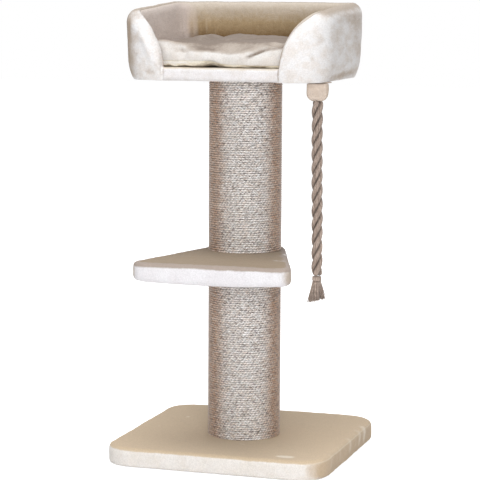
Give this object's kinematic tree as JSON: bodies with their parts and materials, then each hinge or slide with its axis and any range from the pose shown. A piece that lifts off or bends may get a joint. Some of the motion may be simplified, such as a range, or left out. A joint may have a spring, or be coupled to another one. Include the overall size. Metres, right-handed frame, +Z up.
{
  "type": "cat scratching post",
  "caption": "Free-standing cat scratching post: plush base board, thick rope-wound post with a plush step halfway, padded open-fronted bed with a loose cushion, and a hanging toy rope.",
  "frame": {"origin": "centre of the base board's underside, on the floor", "axes": "+Z up along the post, +X to the right along the front edge, +Y to the back; the bed is open to -Y"},
  "size_m": [0.616, 0.6875, 1.237],
  "materials": {
    "chipboard": "matte",
    "plywood": "matte",
    "hardboard": "matte",
    "plush": "matte",
    "wall_plush": "matte",
    "cushion_plush": "matte",
    "strap_plush": "matte",
    "card_tube": "matte",
    "sisal": "matte",
    "toy_rope": "matte",
    "twine": "matte",
    "zinc_steel": "satin"
  },
  "bodies": {
    "stand": {"base_board": "chipboard", "shelf_board": "chipboard", "bed_board": "chipboard", "base_cover": "plush", "shelf_cover": "plush", "bed_board_cover": "plush", "bed_wall_cover": "wall_plush", "strap_tail": "strap_plush", "lower_tube": "card_tube", "upper_tube": "card_tube", "lower_foot_disc": "plywood", "lower_head_disc": "plywood", "upper_foot_disc": "plywood", "upper_head_disc": "plywood", "lower_winding": "sisal", "upper_winding": "sisal", "bed_wall_core": "hardboard", "tee_nuts": "zinc_steel", "base_washer": "zinc_steel", "base_bolt": "zinc_steel", "shelf_stud": "zinc_steel", "bed_washer": "zinc_steel", "bed_bolt": "zinc_steel", "bed_wall_screws": "zinc_steel", "strap_screws": "zinc_steel"},
    "loose_cushion": {"cushion": "cushion_plush"},
    "strap": {"toy_strap": "strap_plush"},
    "rope": {"toy_rope": "toy_rope", "toy_rope_binding": "twine", "toy_rope_tassel": "toy_rope"}
  },
  "joints": [
    {"name": "cushion_lift", "type": "slide", "parent": "stand", "child": "loose_cushion", "axis": [0, 0, 1], "range_m": [0, 0.25]},
    {"name": "strap_swing", "type": "hinge", "parent": "stand", "child": "strap", "pos_m": [0.245, -0.15, 1.0157], "axis": [1, 0, 0], "range_deg": [-10, 70]},
    {"name": "rope_swing", "type": "hinge", "parent": "strap", "child": "rope", "pos_m": [0.245, -0.15, 0.9697], "axis": [0, 1, 0], "range_deg": [-70, 4]}
  ]
}
